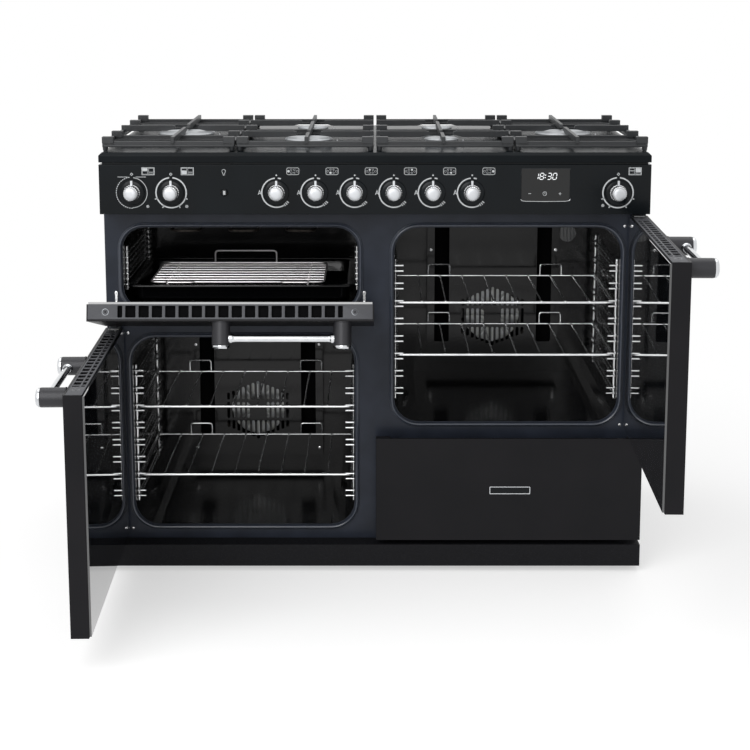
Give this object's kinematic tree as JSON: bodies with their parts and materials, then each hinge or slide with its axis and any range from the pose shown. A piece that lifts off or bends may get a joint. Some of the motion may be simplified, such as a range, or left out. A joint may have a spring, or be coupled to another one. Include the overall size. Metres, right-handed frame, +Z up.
{
  "type": "range cooker with double oven",
  "caption": "Wide free-standing range cooker with two side-hinged fan ovens, a drop-down grill, a storage drawer, turning controls and a gas hob under lift-off cast pan supports.",
  "frame": {"origin": "on the floor under the middle of the cooker's width, at the front face of the oven frame", "axes": "+X to the viewer's right along the front, +Y to the back, +Z up"},
  "size_m": [1.1954, 1.1153, 0.905],
  "materials": {
    "enamel_black": "gloss vitreous enamel",
    "frame_enamel": "semi-gloss slate enamel",
    "door_paint": "satin black",
    "panel_gloss": "gloss black",
    "galvanised": "galvanised sheet",
    "plinth_paint": "textured powder coat",
    "chrome": "bright chrome wire",
    "cast_iron": "matt enamelled cast iron",
    "aluminium": "matt die cast",
    "seal_rubber": "moulded silicone",
    "trim_plastic": "moulded vent trim",
    "inner_glass": "mirror-tinted door glass",
    "display_glass": "gloss black window",
    "knob_metal": "chromed and black knob",
    "handle_metal": "graphite posts and chromed bar",
    "steel": "plain steel",
    "button_plastic": "moulded button",
    "lamp_glass": "heat-proof lens",
    "brass_fitting": "machined fitting"
  },
  "bodies": {
    "cooker": {"side_panels": "door_paint", "back_panel": "galvanised", "front_frame": "frame_enamel", "plinth": "plinth_paint", "leveling_feet": "steel", "oven_liner_left": "enamel_black", "oven_liner_right": "enamel_black", "grill_liner": "enamel_black", "door_seals": "seal_rubber", "fan_cover_left": "enamel_black", "fan_cover_right": "enamel_black", "fan_motors": "steel", "heating_elements": "steel", "oven_lamps": "lamp_glass", "shelf_ladders": "chrome", "door_hinges": "steel", "drawer_runners": "steel", "control_panel": "panel_gloss", "display_window": "display_glass", "taps_and_switches": "brass_fitting", "gas_rail": "steel", "hob_deck": "panel_gloss", "burner_bodies": "aluminium", "burner_caps": "aluminium"},
    "shelf_left_lower": {"shelf_left_lower": "chrome"},
    "shelf_left_upper": {"shelf_left_upper": "chrome"},
    "shelf_right_lower": {"shelf_right_lower": "chrome"},
    "shelf_right_upper": {"shelf_right_upper": "chrome"},
    "pan_support_outer_left": {"pan_support_outer_left": "cast_iron"},
    "pan_support_outer_right": {"pan_support_outer_right": "cast_iron"},
    "pan_support_centre_left": {"pan_support_centre_left": "cast_iron"},
    "pan_support_centre_right": {"pan_support_centre_right": "cast_iron"},
    "knob_grill": {"knob_grill": "knob_metal"},
    "knob_oven_left": {"knob_oven_left": "knob_metal"},
    "knob_oven_right": {"knob_oven_right": "knob_metal"},
    "knob_hob_1": {"knob_hob_1": "knob_metal"},
    "knob_hob_2": {"knob_hob_2": "knob_metal"},
    "knob_hob_3": {"knob_hob_3": "knob_metal"},
    "knob_hob_4": {"knob_hob_4": "knob_metal"},
    "knob_hob_5": {"knob_hob_5": "knob_metal"},
    "knob_hob_6": {"knob_hob_6": "knob_metal"},
    "oven_door_left": {"oven_door_left_skin": "door_paint", "oven_door_left_glass": "inner_glass", "oven_door_left_vent_trim": "trim_plastic", "oven_door_left_handle": "handle_metal"},
    "oven_door_right": {"oven_door_right_skin": "door_paint", "oven_door_right_glass": "inner_glass", "oven_door_right_vent_trim": "trim_plastic", "oven_door_right_handle": "handle_metal"},
    "grill_door": {"grill_door_skin": "door_paint", "grill_door_glass": "inner_glass", "grill_door_vent_trim": "trim_plastic", "grill_door_handle": "handle_metal"},
    "drawer": {"drawer_front": "door_paint", "drawer_tray": "galvanised"},
    "grill_pan": {"grill_pan": "enamel_black"},
    "grill_rack": {"grill_rack": "chrome"},
    "light_button": {"light_button": "button_plastic"},
    "fan_left": {"fan_left": "steel"},
    "fan_right": {"fan_right": "steel"}
  },
  "joints": [
    {"name": "oven_door_left_swing", "type": "hinge", "parent": "cooker", "child": "oven_door_left", "pos_m": [-0.532, -0.026, 0.29075], "axis": [0, 0, -1], "range_deg": [-88.5, 0]},
    {"name": "oven_door_right_swing", "type": "hinge", "parent": "cooker", "child": "oven_door_right", "pos_m": [0.532, -0.026, 0.52115], "axis": [0, 0, 1], "range_deg": [-88.5, 0]},
    {"name": "grill_door_drop", "type": "hinge", "parent": "cooker", "child": "grill_door", "pos_m": [-0.2755, -0.034, 0.5325], "axis": [1, 0, 0], "range_deg": [-75.5, 0]},
    {"name": "drawer_slide", "type": "slide", "parent": "cooker", "child": "drawer", "axis": [0, -1, 0], "range_m": [0, 0.4]},
    {"name": "shelf_left_lower_slide", "type": "slide", "parent": "cooker", "child": "shelf_left_lower", "axis": [0, -1, 0], "range_m": [0, 0.2]},
    {"name": "shelf_left_upper_slide", "type": "slide", "parent": "cooker", "child": "shelf_left_upper", "axis": [0, -1, 0], "range_m": [0, 0.2]},
    {"name": "shelf_right_lower_slide", "type": "slide", "parent": "cooker", "child": "shelf_right_lower", "axis": [0, -1, 0], "range_m": [0, 0.2]},
    {"name": "shelf_right_upper_slide", "type": "slide", "parent": "cooker", "child": "shelf_right_upper", "axis": [0, -1, 0], "range_m": [0, 0.2]},
    {"name": "grill_pan_slide", "type": "slide", "parent": "cooker", "child": "grill_pan", "axis": [0, -1, 0], "range_m": [0, 0.05]},
    {"name": "grill_rack_lift", "type": "slide", "parent": "grill_pan", "child": "grill_rack", "axis": [0, 0, 1], "range_m": [0, 0.05]},
    {"name": "pan_support_outer_left_lift", "type": "slide", "parent": "cooker", "child": "pan_support_outer_left", "axis": [0, 0, 1], "range_m": [0, 0.06]},
    {"name": "pan_support_outer_right_lift", "type": "slide", "parent": "cooker", "child": "pan_support_outer_right", "axis": [0, 0, 1], "range_m": [0, 0.06]},
    {"name": "pan_support_centre_left_lift", "type": "slide", "parent": "cooker", "child": "pan_support_centre_left", "axis": [0, 0, 1], "range_m": [0, 0.06]},
    {"name": "pan_support_centre_right_lift", "type": "slide", "parent": "cooker", "child": "pan_support_centre_right", "axis": [0, 0, 1], "range_m": [0, 0.06]},
    {"name": "knob_grill_turn", "type": "hinge", "parent": "cooker", "child": "knob_grill", "pos_m": [-0.4845, -0.049, 0.796], "axis": [0, 1, 0], "range_deg": [0, 300]},
    {"name": "knob_oven_left_turn", "type": "hinge", "parent": "cooker", "child": "knob_oven_left", "pos_m": [-0.4065, -0.049, 0.796], "axis": [0, 1, 0], "range_deg": [0, 300]},
    {"name": "knob_oven_right_turn", "type": "hinge", "parent": "cooker", "child": "knob_oven_right", "pos_m": [0.4845, -0.049, 0.796], "axis": [0, 1, 0], "range_deg": [0, 300]},
    {"name": "knob_hob_1_turn", "type": "hinge", "parent": "cooker", "child": "knob_hob_1", "pos_m": [-0.1965, -0.049, 0.796], "axis": [0, -1, 0], "range_deg": [0, 240]},
    {"name": "knob_hob_2_turn", "type": "hinge", "parent": "cooker", "child": "knob_hob_2", "pos_m": [-0.1185, -0.049, 0.796], "axis": [0, -1, 0], "range_deg": [0, 240]},
    {"name": "knob_hob_3_turn", "type": "hinge", "parent": "cooker", "child": "knob_hob_3", "pos_m": [-0.0405, -0.049, 0.796], "axis": [0, -1, 0], "range_deg": [0, 240]},
    {"name": "knob_hob_4_turn", "type": "hinge", "parent": "cooker", "child": "knob_hob_4", "pos_m": [0.0375, -0.049, 0.796], "axis": [0, -1, 0], "range_deg": [0, 240]},
    {"name": "knob_hob_5_turn", "type": "hinge", "parent": "cooker", "child": "knob_hob_5", "pos_m": [0.1155, -0.049, 0.796], "axis": [0, -1, 0], "range_deg": [0, 240]},
    {"name": "knob_hob_6_turn", "type": "hinge", "parent": "cooker", "child": "knob_hob_6", "pos_m": [0.1935, -0.049, 0.796], "axis": [0, -1, 0], "range_deg": [0, 240]},
    {"name": "light_button_push", "type": "slide", "parent": "cooker", "child": "light_button", "axis": [0, 1, 0], "range_m": [0, 0.002], "stiffness_N_per_m": 400},
    {"name": "fan_left_spin", "type": "hinge", "parent": "cooker", "child": "fan_left", "pos_m": [-0.27155, 0.416, 0.228], "axis": [0, 1, 0], "continuous": true},
    {"name": "fan_right_spin", "type": "hinge", "parent": "cooker", "child": "fan_right", "pos_m": [0.2701, 0.416, 0.45], "axis": [0, 1, 0], "continuous": true}
  ]
}
